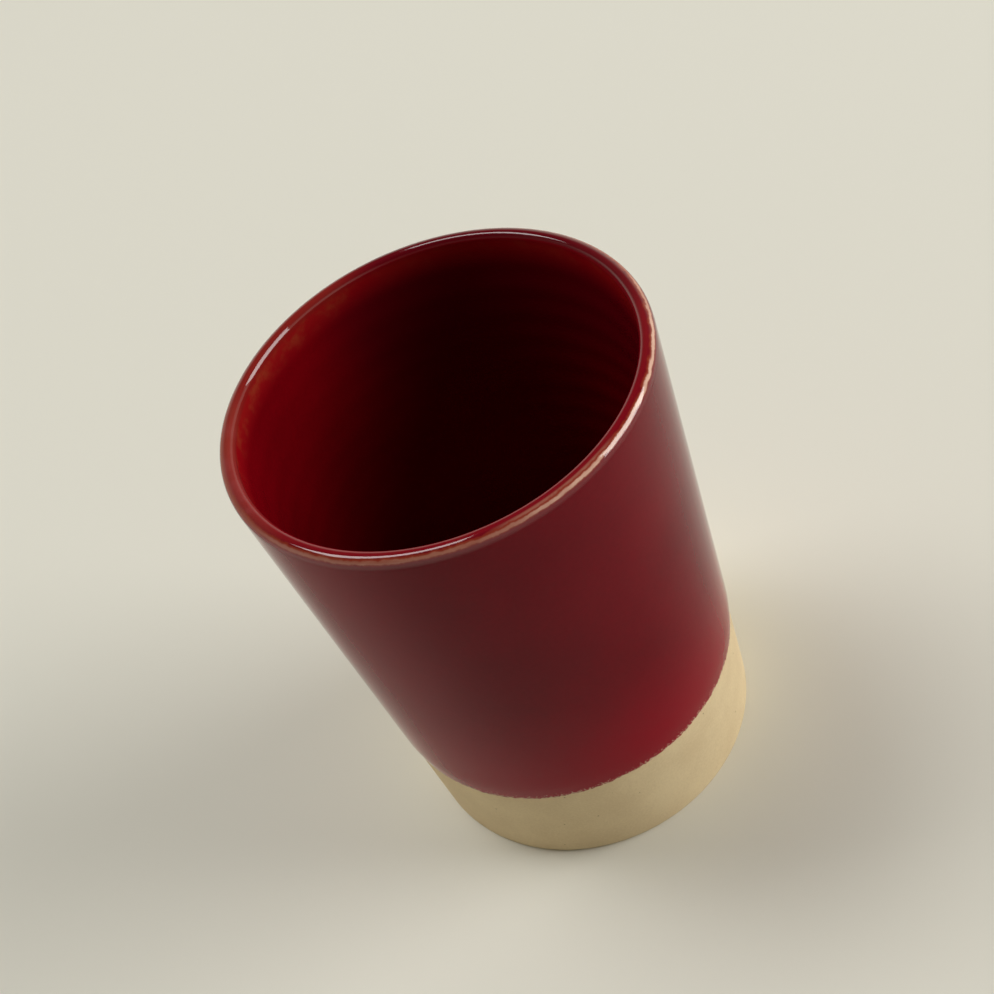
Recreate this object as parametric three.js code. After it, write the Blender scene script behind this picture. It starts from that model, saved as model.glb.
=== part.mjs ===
// A wheel-thrown stoneware tumbler: one fired clay body with red glaze fused to it in three coats.
// Millimetres, +Z up. The origin is the centre of the foot, on the surface that the tumbler stands on.

import * as THREE from "three";

// Overall sizes
const height = 110; // from the foot to the top of the glazed lip
const rimDiameter = 84; // outside, over the glaze
const footDiameter = 75; // outside of the bare clay at the foot

// Clay
const lipThickness = 3.2; // across the lip, with its glaze
const wallAtFloor = 4.6; // the wall thickens downwards to this, where it meets the floor
const floorThickness = 5;
const floorCornerRadius = 11; // inside, where the floor turns up into the wall
const footEdgeRadius = 0.8;
const footRingWidth = 8; // the flat ring that the tumbler stands on
const footRecessDepth = 1.6; // turned away under the floor, inside the foot ring
const footRecessBevel = 2.2; // the recess slopes down to the foot ring over this width

// Glaze
const glazeThickness = 0.4;
const bareBand = 25; // height of the clay that is left unglazed above the foot
const glazeEdgeThickness = 0.15; // of the outer coat, along its lower edge
const glazeEdgeTaper = 4; // the outer coat thins to that edge over this height
const lipCoatSkirt = 0.9; // how far the coat of the lip reaches down both walls
const bondGap = 0.05; // between the clay and its coats, and between one coat and the next

// Facets
const facetsAround = 64;
const arcDivisions = 4; // half the number of facets along each round stretch of a section

const coatFace = bondGap + glazeThickness; // how far the face of a coat stands off the clay

// Sections are drawn with x as the distance from the axis and y as the height above the foot.
const lipRadius = lipThickness / 2 - coatFace;
const lipCentre = new THREE.Vector2(rimDiameter / 2 - coatFace - lipRadius, height - coatFace - lipRadius);
const lipSeamHeight = lipCentre.y - lipCoatSkirt;
const floorHeight = footRecessDepth + floorThickness;
const footRadius = footDiameter / 2;

const OUTSIDE = -1;
const INSIDE = 1;

const outerWall = wallFrom(new THREE.Vector2(footRadius, 0), OUTSIDE);
const innerCorner = new THREE.Vector2(onWall(outerWall, floorHeight).x - wallAtFloor, floorHeight);
const innerWall = wallFrom(innerCorner, INSIDE);

const footEdge = filletCentre(outerWall, footEdgeRadius, OUTSIDE);
const floorCorner = filletCentre(innerWall, floorCornerRadius, INSIDE);

// A straight wall that rises from a corner and runs tangent into the round of the lip
function wallFrom(corner, side) {
  const toLip = lipCentre.clone().sub(corner);
  const angle = toLip.angle() + side * Math.acos(-lipRadius / toLip.length());
  const normal = new THREE.Vector2(Math.cos(angle), Math.sin(angle)); // points out of the clay
  return { corner, angle, normal };
}

// The point at a given height on a wall, or on a face that stands off the wall
function onWall({ corner, normal }, y, standOff = 0) {
  const rise = y - corner.y;
  return new THREE.Vector2(corner.x + (standOff - rise * normal.y) / normal.x, y);
}

// The centre of the round that joins a wall to the level face at its foot
function filletCentre({ corner, normal }, radius, side) {
  const towards = normal.clone().multiplyScalar(side);
  const x = corner.x + (radius * (1 - towards.y)) / towards.x;
  return new THREE.Vector2(x, corner.y + radius);
}

function lineTo(section, point) {
  section.lineTo(point.x, point.y);
}

// Over the lip from the outer wall to the inner one, or back again
function roundLip(section, standOff, backwards = false) {
  const [from, to] = backwards ? [innerWall, outerWall] : [outerWall, innerWall];
  section.absarc(lipCentre.x, lipCentre.y, lipRadius + standOff, from.angle, to.angle, backwards);
}

// Down the inner wall, round the corner and across the floor to the axis
function downInside(section, standOff) {
  const radius = floorCornerRadius - standOff;
  section.absarc(floorCorner.x, floorCorner.y, radius, innerWall.angle - Math.PI, -Math.PI / 2, true);
  section.lineTo(0, floorHeight + standOff);
}

// From the axis across the floor, round the corner and up towards the inner wall
function upInside(section, standOff) {
  const radius = floorCornerRadius - standOff;
  section.moveTo(0, floorHeight + standOff);
  section.lineTo(floorCorner.x, floorHeight + standOff);
  section.absarc(floorCorner.x, floorCorner.y, radius, -Math.PI / 2, innerWall.angle - Math.PI, false);
}

// The thrown clay: recessed foot, floor, tapering wall and rounded lip
function stonewareSection() {
  const recessEdge = footRadius - footRingWidth;
  const section = new THREE.Path();
  section.moveTo(0, footRecessDepth);
  section.lineTo(recessEdge - footRecessBevel, footRecessDepth);
  section.lineTo(recessEdge, 0);
  section.absarc(footEdge.x, footEdge.y, footEdgeRadius, -Math.PI / 2, outerWall.angle, false);
  roundLip(section, 0);
  downInside(section, 0);
  return section;
}

// The red coat on the outside, from its thin lower edge up to the coat of the lip
function outerGlazeSection() {
  const top = lipSeamHeight - bondGap;
  const section = new THREE.Path();
  section.setFromPoints([
    onWall(outerWall, bareBand, bondGap),
    onWall(outerWall, bareBand, bondGap + glazeEdgeThickness),
    onWall(outerWall, bareBand + glazeEdgeTaper, coatFace),
    onWall(outerWall, top, coatFace),
    onWall(outerWall, top, bondGap),
  ]);
  section.closePath();
  return section;
}

// The coat that folds over the lip
function lipGlazeSection() {
  const section = new THREE.Path();
  section.setFromPoints([
    onWall(outerWall, lipSeamHeight, bondGap),
    onWall(outerWall, lipSeamHeight, coatFace),
  ]);
  roundLip(section, coatFace);
  lineTo(section, onWall(innerWall, lipSeamHeight, coatFace));
  lineTo(section, onWall(innerWall, lipSeamHeight, bondGap));
  roundLip(section, bondGap, true);
  section.closePath();
  return section;
}

// The coat that lines the wall and the floor inside
function innerGlazeSection() {
  const top = lipSeamHeight - bondGap;
  const section = new THREE.Path();
  upInside(section, bondGap);
  lineTo(section, onWall(innerWall, top, bondGap));
  lineTo(section, onWall(innerWall, top, coatFace));
  downInside(section, coatFace);
  return section;
}

function turned(name, section, material) {
  const geometry = new THREE.LatheGeometry(section.getPoints(arcDivisions), facetsAround);
  const mesh = new THREE.Mesh(geometry, material);
  mesh.name = name;
  return mesh;
}

const bareClay = new THREE.MeshStandardMaterial({ color: 0xb9a37b, roughness: 0.82, metalness: 0 });
const redGlaze = new THREE.MeshStandardMaterial({ color: 0x6e060d, roughness: 0.16, metalness: 0 });
const linerGlaze = new THREE.MeshStandardMaterial({ color: 0x66040b, roughness: 0.14, metalness: 0 });
const brokenGlaze = new THREE.MeshStandardMaterial({ color: 0x7d3020, roughness: 0.2, metalness: 0 });

const tumbler = new THREE.Group();
tumbler.rotation.x = Math.PI / 2; // the sections are turned about Y, and the tumbler stands along Z
tumbler.add(turned("stoneware_body", stonewareSection(), bareClay));
tumbler.add(turned("outer_glaze", outerGlazeSection(), redGlaze));
tumbler.add(turned("lip_glaze", lipGlazeSection(), brokenGlaze));
tumbler.add(turned("inner_glaze", innerGlazeSection(), linerGlaze));

export default tumbler;
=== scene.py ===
import math

import bmesh
import bpy
from mathutils import Color, Matrix, Vector, noise


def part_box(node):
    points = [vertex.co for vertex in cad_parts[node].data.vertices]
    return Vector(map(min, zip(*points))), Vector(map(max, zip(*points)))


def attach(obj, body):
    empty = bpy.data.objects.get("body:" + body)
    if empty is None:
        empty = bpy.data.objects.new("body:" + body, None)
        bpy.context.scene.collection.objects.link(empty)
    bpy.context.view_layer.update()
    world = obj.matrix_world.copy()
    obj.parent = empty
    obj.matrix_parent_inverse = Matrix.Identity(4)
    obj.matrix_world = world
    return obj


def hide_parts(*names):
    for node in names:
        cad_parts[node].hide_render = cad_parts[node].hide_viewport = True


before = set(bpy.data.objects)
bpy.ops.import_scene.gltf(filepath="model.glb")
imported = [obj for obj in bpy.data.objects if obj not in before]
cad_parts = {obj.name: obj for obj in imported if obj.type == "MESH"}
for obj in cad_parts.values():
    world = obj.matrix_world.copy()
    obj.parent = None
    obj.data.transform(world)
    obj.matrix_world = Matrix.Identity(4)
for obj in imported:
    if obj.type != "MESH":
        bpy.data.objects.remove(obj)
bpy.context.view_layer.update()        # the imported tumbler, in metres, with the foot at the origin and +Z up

bl_info = {
    "name": "Stoneware tumbler",
    "version": (1, 0, 0),
    "blender": (4, 5, 0),
    "location": "View3D > Sidebar > Tumbler",
    "description": "Throws, glazes and lights a stoneware tumbler with a bare clay foot",
    "category": "Add Mesh",
}

MILLIMETRE = 0.001


# Sizes read from the frame

def corners_of(node):
    return [vertex.co.copy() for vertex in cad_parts[node].data.vertices]


def radii(node):
    """The smallest and the largest distance of a node's corners from the axis."""
    distances = [corner.xy.length for corner in corners_of(node)]
    return min(distances), max(distances)


LIP_INSIDE_RADIUS, RIM_RADIUS = radii("lip_glaze")
LIP_SEAM_HEIGHT, HEIGHT = (corner.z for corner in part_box("lip_glaze"))
GLAZE_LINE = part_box("outer_glaze")[0].z
FLOOR_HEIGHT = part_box("inner_glaze")[0].z
COAT = RIM_RADIUS - radii("stoneware_body")[1]
CLAY_CORNERS = corners_of("stoneware_body")
FOOT_RADIUS = max(corner.xy.length for corner in CLAY_CORNERS if corner.z < GLAZE_LINE / 2)
FOOT_RECESS = min(corner.z for corner in CLAY_CORNERS if corner.xy.length < FOOT_RADIUS / 2)


# What a user would change

def length(name, description, default):
    return bpy.props.FloatProperty(
        name=name, description=description, default=default, min=0, precision=5, unit="LENGTH")


def colour(name, description, red, green, blue):
    """A colour given as it looks on a screen, from 0 to 255, and kept in linear values."""
    linear = Color((red / 255, green / 255, blue / 255)).from_srgb_to_scene_linear()
    return bpy.props.FloatVectorProperty(
        name=name, description=description, default=linear[:], size=3, min=0, max=1, subtype="COLOR")


class TumblerSizes(bpy.types.PropertyGroup):
    """Sizes of the thrown clay and of its glaze"""

    height: length("Height", "From the foot to the top of the glazed lip", HEIGHT)
    rim_radius: length("Rim radius", "Outside of the rim, over the glaze", RIM_RADIUS)
    lip_thickness: length("Lip thickness", "Across the glazed lip", RIM_RADIUS - LIP_INSIDE_RADIUS)
    lip_seam: length("Lip coat", "Height where the coat of the lip begins", LIP_SEAM_HEIGHT)
    foot_radius: length("Foot radius", "Outside of the bare clay at the foot", FOOT_RADIUS)
    foot_edge: length("Foot edge", "Round of the foot's outer edge", 0.8 * MILLIMETRE)
    foot_ring: length("Foot ring", "Width of the flat ring that it stands on", 8 * MILLIMETRE)
    foot_recess: length("Foot recess", "Depth of the turned recess inside the foot ring", FOOT_RECESS)
    floor_height: length("Floor", "Height of the clay floor inside", FLOOR_HEIGHT)
    floor_corner: length("Floor corner", "Round where the floor turns up into the wall", 11 * MILLIMETRE)
    wall_at_floor: length("Wall at floor", "Thickness of the clay wall at the floor", 4.6 * MILLIMETRE)
    coat: length("Glaze", "Thickness of the glaze", COAT)
    glaze_line: length("Glaze line", "Height of the bare clay below the glaze", GLAZE_LINE)
    ring_pitch: length("Throwing rings", "Rise of the finger spiral inside", 6.5 * MILLIMETRE)
    ring_depth: length("Ring depth", "Depth of that spiral", 0.07 * MILLIMETRE)


class TumblerColours(bpy.types.PropertyGroup):
    """Colours of the clay, the glaze and the floor"""

    clay: colour("Clay", "Bare fired stoneware", 222, 201, 160)
    clay_shade: colour("Clay shade", "Darker clouds in the clay", 209, 186, 146)
    speck: colour("Specks", "Iron specks in the clay", 112, 84, 56)
    glaze: colour("Glaze", "Red of the coat outside", 112, 3, 20)
    # Painted light: a lighter red over the lower outside wall and on the left side
    glaze_painted_light: colour("Thin glaze", "Red outside where the coat is thin", 142, 8, 30)
    # Also painted shade: high inside and on top of the lip, on the far side
    glaze_deep_and_shade: colour("Deep glaze", "Red where the coat is deepest", 98, 2, 17)
    liner: colour("Liner", "Red of the coat inside", 124, 2, 14)
    # Painted light: a lighter red just below the lip and low down inside
    liner_painted_light: colour("Thin liner", "Red inside where the coat is thin", 152, 8, 20)
    liner_deep: colour("Deep liner", "Darker clouds in the coat inside", 110, 2, 12)
    fringe: colour("Fringe", "Thin glaze along the lower edge", 198, 160, 138)
    lip_red: colour("Lip", "Red of the thin coat on the lip", 124, 8, 24)
    lip_haze: colour("Hazy lip", "Where the coat on the lip is dull", 154, 66, 62)
    lip_tan: colour("Broken lip", "Broken glaze on the outer edge of the lip", 174, 110, 90)
    # Partly a painted highlight: pale broken glaze on one side of the lip
    lip_pale_and_highlight: colour("Pale lip", "Where the broken glaze is thinnest", 226, 180, 156)
    lip_rust: colour("Rust", "Where the red turns to the broken glaze", 148, 56, 34)
    floor: colour("Floor", "The surface that the tumbler stands on", 238, 235, 221)


# Shader maths

class Wire:
    """An output socket that takes part in sums: each operator adds one Math node"""

    def __init__(self, nodes, socket):
        self.nodes = nodes
        self.socket = socket

    def math(self, operation, *values):
        return self.nodes.node("ShaderNodeMath", {"operation": operation}, dict(enumerate(values)))

    def __add__(self, other):
        return self.math("ADD", self, other)

    def __sub__(self, other):
        return self.math("SUBTRACT", self, other)

    def __rsub__(self, other):
        return self.math("SUBTRACT", other, self)

    def __mul__(self, other):
        return self.math("MULTIPLY", self, other)

    def __gt__(self, other):
        return self.math("GREATER_THAN", self, other)

    __radd__ = __add__
    __rmul__ = __mul__


class Nodes:
    """A node tree that is built up by calls"""

    MIX_A, MIX_B, MIX_COLOUR = 6, 7, 2      # the sockets of a Mix node that take and give colours

    def __init__(self, tree):
        self.tree = tree

    def node(self, kind, settings=None, values=None, output=0):
        """Adds a node, sets it up, fills or links its sockets and returns one of its outputs."""
        node = self.tree.nodes.new(kind)
        for setting, value in (settings or {}).items():
            setattr(node, setting, value)
        for socket, value in (values or {}).items():
            self.feed(node.inputs[socket], value)
        return Wire(self, node.outputs[output])

    def feed(self, socket, value):
        """Links a wire to a socket, or sets the socket to a constant."""
        if isinstance(value, Wire):
            self.tree.links.new(value.socket, socket)
        elif socket.type == "RGBA":
            socket.default_value = (*value, 1)
        else:
            socket.default_value = value

    def rise(self, value, low, high):
        """0 below low and 1 above high, with a smooth step between them."""
        values = {"Value": value, "From Min": low, "From Max": high}
        return self.node("ShaderNodeMapRange", {"interpolation_type": "SMOOTHSTEP"}, values)

    def mix(self, share, first, second):
        """The first colour where the share is 0, and the second where it is 1."""
        values = {0: share, self.MIX_A: first, self.MIX_B: second}
        return self.node("ShaderNodeMix", {"data_type": "RGBA"}, values, self.MIX_COLOUR)


class Paint(Nodes):
    """The nodes of a new material"""

    def __init__(self, name):
        self.material = bpy.data.materials.new(name)
        self.material.use_nodes = True
        super().__init__(self.material.node_tree)
        self.surface = self.tree.nodes["Principled BSDF"]

    def finish(self, values):
        """Feeds the surface by the names of its sockets, and returns the material."""
        for socket, value in values.items():
            self.feed(self.surface.inputs[socket], value)
        return self.material

    def place(self, stretch=(1, 1, 1)):
        """Object coordinates in metres, squeezed or stretched along each axis."""
        place = self.node("ShaderNodeTexCoord", output="Object")
        return self.node("ShaderNodeVectorMath", {"operation": "MULTIPLY"}, {0: place, 1: stretch})

    def radius(self):
        """Distance from the axis."""
        level = self.place(stretch=(1, 1, 0))
        return self.node("ShaderNodeVectorMath", {"operation": "LENGTH"}, {0: level}, output="Value")

    def height(self):
        """Height above the foot."""
        return self.node("ShaderNodeSeparateXYZ", values={0: self.place()}, output="Z")

    def toward(self, direction):
        """Distance from the axis along a level direction."""
        values = {0: self.place(), 1: direction}
        return self.node("ShaderNodeVectorMath", {"operation": "DOT_PRODUCT"}, values, output="Value")

    def noise(self, size, detail=2, stretch=(1, 1, 1)):
        """Soft random values about 0.5, in lumps of the given size in metres."""
        values = {"Vector": self.place(stretch), "Scale": 1 / size, "Detail": detail}
        return self.node("ShaderNodeTexNoise", values=values)

    def bump(self, depth, height, under=None):
        """A normal from a height between 0 and 1, of a depth in metres, laid over another normal."""
        values = {"Strength": 1, "Distance": depth, "Height": height}
        if under:
            values["Normal"] = under
        return self.node("ShaderNodeBump", values=values)


# Finish of the bare clay

def iron_specks(paint):
    """1 in small round specks, which lie in a few of the cells of an even pattern."""
    spacing = 2.4 * MILLIMETRE
    speck_edge = (0.05, 0.11)       # distance from the middle of a cell, in spacings
    empty_cells = 0.75              # share of the cells
    cells = {"Vector": paint.place(), "Scale": 1 / spacing}
    distance = paint.node("ShaderNodeTexVoronoi", values=cells, output="Distance")
    lots = paint.node("ShaderNodeTexVoronoi", values=cells, output="Color")
    lot = paint.node("ShaderNodeSeparateColor", values={0: lots})
    return (1 - paint.rise(distance, *speck_edge)) * (lot > empty_cells)


def bare_stoneware(colours):
    """Pale clay with soft clouds, a fine grain, a few specks and level marks of turning."""
    paint = Paint("bare_stoneware")
    grain = paint.noise(0.5 * MILLIMETRE, detail=4)
    clouds = paint.noise(14 * MILLIMETRE, detail=3)
    turning = paint.noise(0.7 * MILLIMETRE, stretch=(0.03, 0.03, 1))
    tone = paint.rise(clouds * 0.6 + grain * 0.4, 0.35, 0.7)
    clay = paint.mix(tone, colours.clay_shade, colours.clay)
    clay = paint.mix(iron_specks(paint) * 0.75, clay, colours.speck)
    relief = paint.bump(0.03 * MILLIMETRE, grain)
    relief = paint.bump(0.02 * MILLIMETRE, turning, relief)
    return paint.finish({"Base Color": clay, "Roughness": 0.72 + grain * 0.2, "Normal": relief})


# Finishes of the glaze

GLAZE_SHINE = 0.09              # specular level of the full coat
LEFT_SIDE = (-1, 0, 0)          # the lip is hazy, and the red outside is lighter, as painted light
RIGHT_SIDE = (1, 0, 0)          # the lip is slightly hazy
FAR_SIDE = (0.71, 0.71, 0)      # painted shade: the red is darker high inside and on top of the lip on this side
PALE_HIGHLIGHT_SIDE = (0.74, -0.67, 0)    # the broken glaze on the lip is palest, partly a painted highlight
RUST_SIDE = (-0.71, 0.71, 0)    # the lip has the most rust, on top and inside
STREAK_SIDE = (0.29, -0.96, 0)  # the lip has a tan streak on top


def on_side(paint, sizes, side, start, full):
    """Rises from 0 to 1 towards a side, between two distances in shares of the rim's radius."""
    return paint.rise(paint.toward(side), start * sizes.rim_radius, full * sizes.rim_radius)


def below(paint, depth, start, full):
    """Rises from 0 to 1 between two depths, which are given in millimetres."""
    return paint.rise(depth, start * MILLIMETRE, full * MILLIMETRE)


def band(paint, depth, upper_edge, lower_edge):
    """1 between two soft edges, each a pair of depths in millimetres."""
    return below(paint, depth, *upper_edge) * (1 - below(paint, depth, *lower_edge))


def red_coat(paint, deep, full):
    """Colour, roughness and normal of a red coat with faint clouds, fine mottling and a soft ripple."""
    clouds = paint.noise(26 * MILLIMETRE, detail=3)
    mottling = paint.noise(0.9 * MILLIMETRE, detail=3)
    tone = paint.rise(clouds * 0.7 + mottling * 0.3, 0.3, 0.7)
    red = paint.mix(tone, deep, full)
    gloss = 0.05 + clouds * 0.05
    ripple = paint.bump(0.006 * MILLIMETRE, paint.noise(4 * MILLIMETRE))
    return red, gloss, ripple


def outside_red(paint, colours, sizes):
    """The red coat outside, with painted light that makes it lighter towards its lower edge and on the left.
    """
    painted_light_height = 35 * MILLIMETRE
    red, gloss, ripple = red_coat(paint, colours.glaze_deep_and_shade, colours.glaze)
    low = 1 - paint.rise(paint.height(), sizes.glaze_line, sizes.glaze_line + painted_light_height)
    left = on_side(paint, sizes, LEFT_SIDE, 0.2, 0.9)
    # painted light: a lighter red low on the wall and towards the left
    thin = low * 0.85 + left * (1 - low) * 0.45
    return paint.mix(thin, red, colours.glaze_painted_light), gloss, ripple


def inside_rust(paint, sizes, depth):
    """Share of rust just below the lip: soft clouds and small patches, more of them on one side."""
    near_lip = 1 - below(paint, depth, 1, 7)
    clouds = paint.rise(paint.noise(10 * MILLIMETRE, detail=3), 0.35, 0.7)
    patches = paint.rise(paint.noise(3.2 * MILLIMETRE, detail=3), 0.45, 0.75)
    rust_side = on_side(paint, sizes, RUST_SIDE, 0.65, 0.9)
    return near_lip * (clouds * 0.15 + patches * 0.3 + rust_side * (0.12 + patches * 0.5))


def inside_red(paint, colours, sizes):
    """The red coat inside, with painted shade high on the far side, and painted light by the lip and low down.
    """
    depth = sizes.height - paint.height()
    red, gloss, ripple = red_coat(paint, colours.liner_deep, colours.liner)
    # painted shade: darker high up on the far side
    deep = on_side(paint, sizes, FAR_SIDE, 0.2, 0.6) * (1 - below(paint, depth, 15, 40))
    red = paint.mix(deep * 0.85, red, colours.glaze_deep_and_shade)
    # painted light: lighter just below the lip and low down
    painted_light_by_lip = 1 - below(paint, depth, 0.5, 8)
    low = below(paint, depth, 30, 60)
    red = paint.mix(painted_light_by_lip + low * 0.35, red, colours.liner_painted_light)
    red = paint.mix(inside_rust(paint, sizes, depth), red, colours.lip_rust)
    return red, gloss, ripple


def outside_glaze(colours, sizes):
    """The red coat, which breaks up into a pale, dull and grainy fringe at its lower edge."""
    paint = Paint("outside_glaze")
    red, gloss, ripple = outside_red(paint, colours, sizes)
    cover = paint.node("ShaderNodeAttribute", {"attribute_name": "cover"}, output="Fac")
    grains = (paint.noise(0.45 * MILLIMETRE, detail=3) - 0.5) * 2.2
    full = paint.rise(cover + grains, -0.08, 0.14)
    return paint.finish({
        "Base Color": paint.mix(full, colours.fringe, red),
        "Roughness": 0.5 - full * 0.5 + gloss,
        "Normal": ripple,
        "Specular IOR Level": GLAZE_SHINE,
    })


def liner_glaze(colours, sizes):
    """The red coat inside, with rust patches below the lip, painted light by the lip and low down, and painted
    shade on the far side.
    """
    paint = Paint("liner_glaze")
    red, gloss, ripple = inside_red(paint, colours, sizes)
    return paint.finish({
        "Base Color": red,
        "Roughness": gloss,
        "Normal": ripple,
        "Specular IOR Level": GLAZE_SHINE,
    })


class LipMap:
    """Depth below the top of the lip, and shares that say where a spot lies on the lip"""

    def __init__(self, paint, sizes):
        middle = sizes.rim_radius - sizes.lip_thickness / 2
        turn_over = 0.4 * MILLIMETRE
        raggedness = 0.55 * MILLIMETRE
        self.depth = sizes.height - paint.height()
        self.ragged_depth = self.depth + (paint.noise(1.6 * MILLIMETRE, detail=4) - 0.5) * raggedness
        self.patches = paint.rise(paint.noise(7 * MILLIMETRE, detail=3), 0.42, 0.62)
        self.outside = paint.rise(paint.radius(), middle, middle + turn_over)
        self.top = 1 - below(paint, self.depth, 0.6, 2.2)
        self.left = on_side(paint, sizes, LEFT_SIDE, 0.78, 0.97)
        self.right = on_side(paint, sizes, RIGHT_SIDE, 0.78, 0.97)
        # far: where the top of the lip gets painted shade, and less clear coat inside
        self.far = on_side(paint, sizes, FAR_SIDE, 0.45, 0.75)
        self.rust_side = on_side(paint, sizes, RUST_SIDE, 0.65, 0.9)
        self.pale_and_highlight_side = on_side(paint, sizes, PALE_HIGHLIGHT_SIDE, 0.55, 0.95)
        self.streak_side = on_side(paint, sizes, STREAK_SIDE, 0.91, 0.965)


def lip_top(paint, colours, lip, skin):
    """Lays thin red over the top of the lip, painted shade on the far side, and makes it hazy on the left and
    the right.
    """
    skin = paint.mix(lip.top * 0.8, skin, colours.lip_red)
    # painted shade: the far side of the lip's top is darkened
    far_painted_shade = lip.far * (1 - below(paint, lip.depth, 0.4, 1))
    skin = paint.mix(far_painted_shade * 0.85, skin, colours.glaze_deep_and_shade)
    haze = lip.left * (0.45 + lip.patches * 0.35) + lip.right * 0.1
    return paint.mix(lip.top * haze, skin, colours.lip_haze)


def lip_edge(paint, colours, lip, skin):
    """Breaks the glaze to rust and tan round the outer edge of the lip, and to a pale tan on one side, which
    is partly a painted highlight.
    """
    rust = lip.outside * band(paint, lip.ragged_depth, (0.08, 0.28), (0.8, 1.1))
    top_rust = lip.top * (lip.rust_side * 0.3 + lip.left * (1 - lip.patches) * 0.25)
    skin = paint.mix(rust * 0.8 + top_rust, skin, colours.lip_rust)
    streak = lip.outside * lip.streak_side * (1 - below(paint, lip.ragged_depth, 0.1, 0.3))
    tan = lip.outside * band(paint, lip.ragged_depth, (0.28, 0.5), (0.7, 0.92)) * (1 - lip.left * 0.95)
    skin = paint.mix(streak * 0.75 + tan * (0.7 + lip.patches * 0.3), skin, colours.lip_tan)
    # pale broken glaze, partly a painted highlight, on one side
    return paint.mix(tan * lip.pale_and_highlight_side * (0.6 + lip.patches * 0.4), skin, colours.lip_pale_and_highlight)


def lip_shine(paint, lip):
    """Weight of the clear coat on the lip: less on the left, and only at the very top on the far side."""
    shine = 1 - below(paint, lip.depth, 1.2, 2.2)
    far_wall = lip.far * below(paint, lip.depth, 0.25, 0.5)
    return shine * (1 - far_wall) * (1 - lip.left * 0.7)


def lip_glaze(colours, sizes):
    """The red coat, bright over the lip, with painted shade on the far side, hazy on two sides, and broken to
    tan round its outer edge, pale with a painted highlight on one side.
    """
    paint = Paint("lip_glaze")
    red, gloss, ripple = outside_red(paint, colours, sizes)
    lip = LipMap(paint, sizes)
    skin = paint.mix(lip.outside, inside_red(paint, colours, sizes)[0], red)
    skin = lip_top(paint, colours, lip, skin)
    skin = lip_edge(paint, colours, lip, skin)
    return paint.finish({
        "Base Color": skin,
        "Roughness": gloss,
        "Normal": ripple,
        "Coat Weight": lip_shine(paint, lip),
        "Specular IOR Level": GLAZE_SHINE,
    })


# Shapes turned on the wheel

MERGE_DISTANCE = 0.001 * MILLIMETRE
CREASE = math.radians(35)               # edges that are sharper than this stay sharp
COARSE_TURN = 256                       # steps round the axis
LIP_TURN = 512
FINE_TURN = 720


def lip_centre(sizes):
    """Height of the middle of the round of the lip."""
    return sizes.height - sizes.lip_thickness / 2


def clay_outside(sizes, z):
    """Distance from the axis to the outside of the clay at a height above the foot."""
    clay_rim = sizes.rim_radius - sizes.coat
    return sizes.foot_radius + (clay_rim - sizes.foot_radius) * z / lip_centre(sizes)


def clay_inside(sizes, z):
    """Distance from the axis to the inside of the clay wall at a height above the foot."""
    at_floor = clay_outside(sizes, sizes.floor_height) - sizes.wall_at_floor
    at_lip = sizes.rim_radius - sizes.lip_thickness + sizes.coat
    rise = lip_centre(sizes) - sizes.floor_height
    return at_floor + (at_lip - at_floor) * (z - sizes.floor_height) / rise


def section(points, closed=False):
    """A chain of edges through points given as (distance from the axis, height)."""
    bm = bmesh.new()
    corners = [bm.verts.new((x, 0, z)) for x, z in points]
    ends = corners[1:] + corners[:1] if closed else corners[1:]
    for start, end in zip(corners, ends):
        bm.edges.new((start, end))
    return bm, corners


def round_corner(bm, corner, size, segments=8):
    bmesh.ops.bevel(bm, geom=[corner], offset=size, offset_type="OFFSET", segments=segments, profile=0.5,
                    affect="VERTICES", material=-1)


def longest_edge(corner):
    return max(corner.link_edges, key=lambda edge: edge.calc_length())


def cut_rows(bm, edges, rows):
    """Cuts edges of a section into rows, so that the turned skin can be shaped between its corners."""
    bmesh.ops.subdivide_edges(bm, edges=edges, cuts=rows - 1)


def spin_section(bm, steps):
    """Turns the section about the axis into a closed skin."""
    bmesh.ops.spin(bm, geom=bm.verts[:] + bm.edges[:], cent=(0, 0, 0), axis=(0, 0, 1),
                   angle=math.tau, steps=steps, use_merge=True)
    bmesh.ops.remove_doubles(bm, verts=bm.verts, dist=MERGE_DISTANCE)
    bmesh.ops.recalc_face_normals(bm, faces=bm.faces)


def add_piece(bm, name, material, node):
    """Makes the finished skin an object that stands for a node of the frame."""
    for face in bm.faces:
        face.smooth = True
    for edge in bm.edges:
        edge.smooth = edge.calc_face_angle(0) < CREASE
    mesh = bpy.data.meshes.new(name)
    bm.to_mesh(mesh)
    bm.free()
    mesh.materials.append(material)
    piece = bpy.data.objects.new(name, mesh)
    bpy.context.scene.collection.objects.link(piece)
    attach(piece, "root")
    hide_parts(node)


def fade(distance, width):
    """Rises smoothly from 0 to 1 over a width."""
    share = min(1, max(0, distance / width))
    return share * share * (3 - 2 * share)


# The clay

CLAY_LIP_ROUND = 1 * MILLIMETRE         # both edges of the clay's lip, under the glaze
RECESS_SLOPE = 2.2 * MILLIMETRE         # by which the side of the recess leans inwards
RECESS_ROUND = 0.8 * MILLIMETRE
RING_ROUND = 0.5 * MILLIMETRE           # inner edge of the foot ring
UNDERSIDE_ROWS = 60
GROOVE_PITCH = 2.6 * MILLIMETRE         # of the marks of the turning tool
GROOVE_DEPTH = 0.07 * MILLIMETRE


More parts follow.
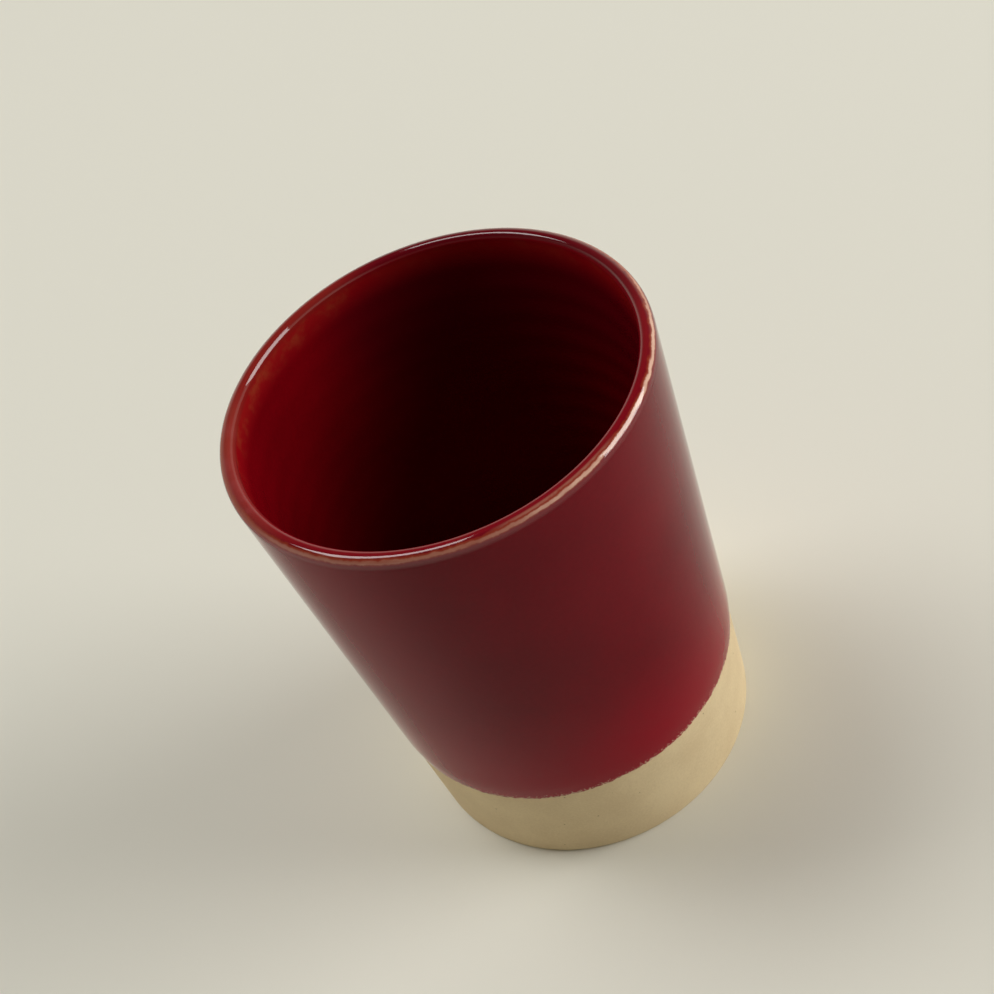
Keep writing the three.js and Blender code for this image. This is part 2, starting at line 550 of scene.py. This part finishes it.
class TUMBLER_OT_thrown_body(bpy.types.Operator):
    """Throw the clay: recessed foot, floor, tapering wall and lip"""

    bl_idname = "tumbler.thrown_body"
    bl_label = "Throw the body"

    def execute(self, context):
        sizes = context.scene.tumbler_sizes
        recess_edge = sizes.foot_radius - sizes.foot_ring
        floor = sizes.floor_height
        top = sizes.height - sizes.coat
        bm, corners = section([
            (0, sizes.foot_recess),
            (recess_edge - RECESS_SLOPE, sizes.foot_recess),
            (recess_edge, 0),
            (sizes.foot_radius, 0),
            (clay_outside(sizes, sizes.glaze_line), sizes.glaze_line),
            (sizes.rim_radius - sizes.coat, top),
            (sizes.rim_radius - sizes.lip_thickness + sizes.coat, top),
            (clay_inside(sizes, floor), floor),
            (0, floor),
        ])
        middle, recess, ring_inside, ring_outside, _, lip_outside, lip_inside, floor_edge, _ = corners
        round_corner(bm, floor_edge, sizes.floor_corner)
        round_corner(bm, lip_inside, CLAY_LIP_ROUND)
        round_corner(bm, lip_outside, CLAY_LIP_ROUND)
        round_corner(bm, ring_outside, sizes.foot_edge)
        round_corner(bm, ring_inside, RING_ROUND, segments=4)
        round_corner(bm, recess, RECESS_ROUND, segments=4)
        cut_rows(bm, [longest_edge(middle)], UNDERSIDE_ROWS)
        self.turn_underside(bm, sizes)
        spin_section(bm, COARSE_TURN)
        material = bare_stoneware(context.scene.tumbler_colours)
        add_piece(bm, "thrown_body", material, "stoneware_body")
        return {"FINISHED"}

    def turn_underside(self, bm, sizes):
        """Leaves the shallow grooves of the turning tool in the recess under the foot."""
        for vertex in bm.verts:
            if abs(vertex.co.z - sizes.foot_recess) < GROOVE_DEPTH:
                vertex.co.z += GROOVE_DEPTH * math.cos(math.tau * vertex.co.x / GROOVE_PITCH)


# The glaze outside

FEATHER_HEIGHT = 4 * MILLIMETRE         # over which the coat thickens above its lower edge
FEATHER_ROWS = 24
EDGE_THICKNESS = 0.2 * MILLIMETRE
EDGE_LIFT = 0.3 * MILLIMETRE            # mean height of the teeth along the lower edge
WAVE_LENGTH = 9 * MILLIMETRE
WAVE_HEIGHT = 0.25 * MILLIMETRE
TOOTH_WIDTH = 0.8 * MILLIMETRE
TOOTH_HEIGHT = 0.35 * MILLIMETRE


class TUMBLER_OT_outside_coat(bpy.types.Operator):
    """Glaze the outside, from a feathered lower edge up to the lip"""

    bl_idname = "tumbler.outside_coat"
    bl_label = "Glaze the outside"

    def execute(self, context):
        sizes = context.scene.tumbler_sizes
        low, high = sizes.glaze_line, sizes.lip_seam
        full = low + FEATHER_HEIGHT
        bm, corners = section([
            (clay_outside(sizes, low), low),
            (clay_outside(sizes, low) + EDGE_THICKNESS, low),
            (clay_outside(sizes, full) + sizes.coat, full),
            (clay_outside(sizes, high) + sizes.coat, high),
            (clay_outside(sizes, high), high),
        ], closed=True)
        full_corner = corners[2]
        cut_rows(bm, full_corner.link_edges[:], FEATHER_ROWS)
        spin_section(bm, FINE_TURN)
        self.feather(bm, low, full)
        material = outside_glaze(context.scene.tumbler_colours, sizes)
        add_piece(bm, "outside_coat", material, "outer_glaze")
        return {"FINISHED"}

    def feather(self, bm, low, full):
        """Draws the lower edge up in fine teeth that die out above it, and notes the coat's cover."""
        cover = bm.verts.layers.float.new("cover")
        for vertex in bm.verts:
            vertex[cover] = min(1, (vertex.co.z - low) / (full - low))
            spot = Vector((vertex.co.x, vertex.co.y, 0))
            wave = noise.noise(spot / WAVE_LENGTH) * WAVE_HEIGHT
            tooth = noise.noise(spot / TOOTH_WIDTH) * TOOTH_HEIGHT
            vertex.co.z += max(0, EDGE_LIFT + wave + tooth) * (1 - vertex[cover]) ** 3


# The glaze on the lip

LIP_OUTER_ROUND = 1.92 * MILLIMETRE
CHAMFER_WIDTH = 0.86 * MILLIMETRE       # of the slope inside the top of the lip
CHAMFER_DROP = 0.6 * MILLIMETRE
CHAMFER_TOP_ROUND = 0.34 * MILLIMETRE
CHAMFER_FOOT_ROUND = 0.69 * MILLIMETRE


class TUMBLER_OT_lip_coat(bpy.types.Operator):
    """Fold the glaze over the lip"""

    bl_idname = "tumbler.lip_coat"
    bl_label = "Glaze the lip"

    def execute(self, context):
        sizes = context.scene.tumbler_sizes
        seam, top = sizes.lip_seam, sizes.height
        inside = sizes.rim_radius - sizes.lip_thickness
        outer_seam = clay_outside(sizes, seam)
        inner_seam = clay_inside(sizes, seam)
        bm, corners = section([
            (outer_seam, seam),
            (outer_seam + sizes.coat, seam),
            (sizes.rim_radius, top),
            (inside + CHAMFER_WIDTH, top),
            (inside, top - CHAMFER_DROP),
            (inner_seam - sizes.coat, seam),
            (inner_seam, seam),
            (inside + sizes.coat, top - sizes.coat),
            (sizes.rim_radius - sizes.coat, top - sizes.coat),
        ], closed=True)
        _, _, outer_edge, chamfer_top, chamfer_foot, _, _, clay_lip_inside, clay_lip_outside = corners
        round_corner(bm, outer_edge, LIP_OUTER_ROUND, segments=16)
        round_corner(bm, chamfer_top, CHAMFER_TOP_ROUND)
        round_corner(bm, chamfer_foot, CHAMFER_FOOT_ROUND, segments=12)
        round_corner(bm, clay_lip_inside, CLAY_LIP_ROUND)
        round_corner(bm, clay_lip_outside, CLAY_LIP_ROUND)
        spin_section(bm, LIP_TURN)
        material = lip_glaze(context.scene.tumbler_colours, sizes)
        add_piece(bm, "lip_coat", material, "lip_glaze")
        return {"FINISHED"}


# The glaze inside

LINER_ROWS = 110                        # up the wall, and across the floor


class TUMBLER_OT_liner_coat(bpy.types.Operator):
    """Line the inside with glaze over the throwing rings"""

    bl_idname = "tumbler.liner_coat"
    bl_label = "Glaze the inside"

    def execute(self, context):
        sizes = context.scene.tumbler_sizes
        seam, floor = sizes.lip_seam, sizes.floor_height
        bm, corners = section([
            (0, floor),
            (clay_inside(sizes, floor), floor),
            (clay_inside(sizes, seam), seam),
            (clay_inside(sizes, seam) - sizes.coat, seam),
            (clay_inside(sizes, floor) - sizes.coat, floor + sizes.coat),
            (0, floor + sizes.coat),
        ])
        _, clay_corner, _, wall_top, glaze_corner, floor_middle = corners
        round_corner(bm, clay_corner, sizes.floor_corner)
        round_corner(bm, glaze_corner, sizes.floor_corner - sizes.coat, segments=24)
        cut_rows(bm, [longest_edge(wall_top), longest_edge(floor_middle)], LINER_ROWS)
        spin_section(bm, COARSE_TURN)
        self.draw_rings(bm, sizes)
        material = liner_glaze(context.scene.tumbler_colours, sizes)
        add_piece(bm, "liner_coat", material, "inner_glaze")
        return {"FINISHED"}

    def draw_rings(self, bm, sizes):
        """Leaves the spiral of the fingers on the wall and on the floor, fading out where they meet."""
        pitch = sizes.ring_pitch
        wall_foot = sizes.floor_height + sizes.floor_corner
        floor_edge = clay_inside(sizes, sizes.floor_height) - sizes.floor_corner
        for vertex in bm.verts:
            turn = math.atan2(vertex.co.y, vertex.co.x) / math.tau
            distance = vertex.co.xy.length
            on_wall = fade(vertex.co.z - wall_foot, pitch) * fade(sizes.lip_seam - vertex.co.z, pitch)
            wave = math.sin(math.tau * (vertex.co.z / pitch - turn))
            outward = Vector((vertex.co.x, vertex.co.y, 0)).normalized()
            vertex.co += outward * wave * on_wall * sizes.ring_depth
            on_floor = fade(floor_edge - distance, pitch) * fade(distance, pitch)
            ripple = math.sin(math.tau * (distance / pitch - turn))
            if vertex.co.z > sizes.floor_height + sizes.coat / 2:
                vertex.co.z += ripple * on_floor * sizes.ring_depth


# Camera, light and floor

PHOTO_SIDE = 994                        # pixels, across the square photograph
FOCAL_LENGTH = 1503                     # pixels
RIM_CENTRE = (431.9, 385.0)             # pixels, where the middle of the rim lies in the photograph
RIM_DISTANCE = 0.2738                   # metres, from the camera to the rim along the line of sight
CAMERA_ELEVATION = math.radians(45.38)
CAMERA_ROLL = math.radians(25.5)        # the tumbler leans to the left in the picture
SENSOR = 36                             # millimetres, width of the camera's sensor
NEAREST_SEEN = 0.01                     # metres from the camera

LAMP_DISTANCE = 3                       # metres, from the middle of the rim
WINDOW = {"towards": (0.9, -0.24, 0.37), "along": (-0.4, -0.85, 0.26), "size": (1.8, 2.18), "power": 74}
TUBE = {"towards": (-0.33, 0.3, 0.9), "along": (0.47, -0.08, 0.2), "size": (1.55, 0.9), "power": 28}
SKYLIGHT = {"towards": (-0.2, 0.5, 0.84), "along": (1, 0, 0), "size": (3, 3), "power": 20}

WALL_GLOW = 0.78                        # brightness of the pale walls round the horizon
LEFT_WALL_GLOW = 1.05                   # light from the wall on the left
LEFT_WALL_EDGE = (-0.9, -0.2)           # how far to the right a direction points where that wall ends
NEAR_WALL_GLOW = 0.15                   # light from the wall behind the camera
NEAR_WALL_EDGE = (-0.6, 0.2)            # how far ahead a direction points where that wall ends
CEILING_GLOW = 0.05
WALL_TOP = math.sin(math.radians(17))   # where the walls begin to give way to the ceiling
CEILING_EDGE = math.sin(math.radians(38))
FLOOR_FADE = (0.4, 1.1)                 # metres from the middle, where the floor fades into the walls
FLOOR_CORNERS = 96


class TUMBLER_OT_stage(bpy.types.Operator):
    """Set the floor, the light and the camera"""

    bl_idname = "tumbler.stage"
    bl_label = "Set the stage"

    def execute(self, context):
        scene = context.scene
        scene.view_settings.view_transform = "Standard"
        self.lay_floor(scene)
        self.surround(scene)
        self.hang(scene, "window", **WINDOW)
        self.hang(scene, "tube", **TUBE)
        skylight = self.hang(scene, "skylight", **SKYLIGHT)
        skylight.visible_glossy = False
        self.set_camera(scene)
        return {"FINISHED"}

    def lay_floor(self, scene):
        """Lays a round floor that fades out at its edge."""
        bm = bmesh.new()
        bmesh.ops.create_circle(bm, cap_ends=True, segments=FLOOR_CORNERS, radius=FLOOR_FADE[1])
        mesh = bpy.data.meshes.new("floor")
        bm.to_mesh(mesh)
        bm.free()
        mesh.materials.append(self.fading_floor(scene.tumbler_colours.floor))
        floor = bpy.data.objects.new("floor", mesh)
        scene.collection.objects.link(floor)

    def fading_floor(self, floor_colour):
        paint = Paint("floor")
        faded = paint.rise(paint.radius(), *FLOOR_FADE)
        nothing = paint.node("ShaderNodeBsdfTransparent")
        floor = Wire(paint, paint.surface.outputs["BSDF"])
        shown = paint.node("ShaderNodeMixShader", values={0: faded, 1: floor, 2: nothing})
        paint.feed(paint.tree.nodes["Material Output"].inputs["Surface"], shown)
        return paint.finish({"Base Color": floor_colour, "Roughness": 0.9})

    def surround(self, scene):
        """Pale walls all round the horizon, under a dim ceiling.

        They look alike, but the left wall gives more light and the wall behind the camera less.
        """
        world = bpy.data.worlds.new("surroundings")
        world.use_nodes = True
        scene.world = world
        sky = Nodes(world.node_tree)
        direction = sky.node("ShaderNodeTexCoord", output="Generated")
        across, ahead, up = (
            sky.node("ShaderNodeSeparateXYZ", values={0: direction}, output=axis) for axis in "XYZ")
        looks = ("Is Camera Ray", "Is Glossy Ray", "Is Transmission Ray")
        seen = sum(sky.node("ShaderNodeLightPath", output=kind) for kind in looks)
        near = (1 - sky.rise(ahead, *NEAR_WALL_EDGE)) * (1 - seen)
        left = (1 - sky.rise(across, *LEFT_WALL_EDGE)) * (1 - seen)
        walls = WALL_GLOW + left * (LEFT_WALL_GLOW - WALL_GLOW) - near * (WALL_GLOW - NEAR_WALL_GLOW)
        ceiling = sky.rise(up, WALL_TOP, CEILING_EDGE)
        background = world.node_tree.nodes["Background"]
        sky.feed(background.inputs["Color"], scene.tumbler_colours.floor)
        sky.feed(background.inputs["Strength"], walls * (1 - ceiling) + ceiling * CEILING_GLOW)

    def hang(self, scene, name, towards, along, size, power):
        """Adds a soft box that faces the rim, with its first side turned along a direction."""
        lamp = bpy.data.lights.new(name, "AREA")
        lamp.shape = "RECTANGLE"
        lamp.size, lamp.size_y = size
        lamp.energy = power
        away = Vector(towards).normalized()
        across = away.cross(Vector(along)).normalized()
        holder = bpy.data.objects.new(name, lamp)
        holder.location = Vector((0, 0, scene.tumbler_sizes.height)) + away * LAMP_DISTANCE
        holder.rotation_euler = Matrix((across.cross(away), across, away)).transposed().to_euler()
        holder.visible_camera = False
        scene.collection.objects.link(holder)
        return holder

    def set_camera(self, scene):
        """Looks at the rim as the photograph does."""
        lens = bpy.data.cameras.new("camera")
        lens.sensor_width = SENSOR
        lens.lens = FOCAL_LENGTH / PHOTO_SIDE * SENSOR
        lens.clip_start = NEAREST_SEEN
        tilt = Matrix.Rotation(math.pi / 2 - CAMERA_ELEVATION, 3, "X")
        turn = tilt @ Matrix.Rotation(-CAMERA_ROLL, 3, "Z")
        across, down = ((pixel - PHOTO_SIDE / 2) / FOCAL_LENGTH * RIM_DISTANCE for pixel in RIM_CENTRE)
        rim = Vector((0, 0, lip_centre(scene.tumbler_sizes)))
        camera = bpy.data.objects.new("camera", lens)
        camera.location = rim - turn @ Vector((across, -down, -RIM_DISTANCE))
        camera.rotation_euler = turn.to_euler()
        scene.collection.objects.link(camera)
        scene.camera = camera


# Panel and registration

class VIEW3D_PT_tumbler(bpy.types.Panel):
    """Steps and settings of the tumbler"""

    bl_label = "Tumbler"
    bl_space_type = "VIEW_3D"
    bl_region_type = "UI"
    bl_category = "Tumbler"

    def draw(self, context):
        for settings in (context.scene.tumbler_sizes, context.scene.tumbler_colours):
            for name in settings.__annotations__:
                self.layout.prop(settings, name)
        for step in STEPS:
            self.layout.operator(step.bl_idname)


STEPS = (
    TUMBLER_OT_thrown_body,
    TUMBLER_OT_outside_coat,
    TUMBLER_OT_lip_coat,
    TUMBLER_OT_liner_coat,
    TUMBLER_OT_stage,
)
CLASSES = (TumblerSizes, TumblerColours, *STEPS, VIEW3D_PT_tumbler)


def register():
    for cls in CLASSES:
        bpy.utils.register_class(cls)
    bpy.types.Scene.tumbler_sizes = bpy.props.PointerProperty(type=TumblerSizes)
    bpy.types.Scene.tumbler_colours = bpy.props.PointerProperty(type=TumblerColours)


def unregister():
    del bpy.types.Scene.tumbler_colours
    del bpy.types.Scene.tumbler_sizes
    for cls in reversed(CLASSES):
        bpy.utils.unregister_class(cls)


def main():
    register()
    bpy.ops.tumbler.thrown_body()
    bpy.ops.tumbler.outside_coat()
    bpy.ops.tumbler.lip_coat()
    bpy.ops.tumbler.liner_coat()
    bpy.ops.tumbler.stage()


if __name__ == "__main__":
    main()
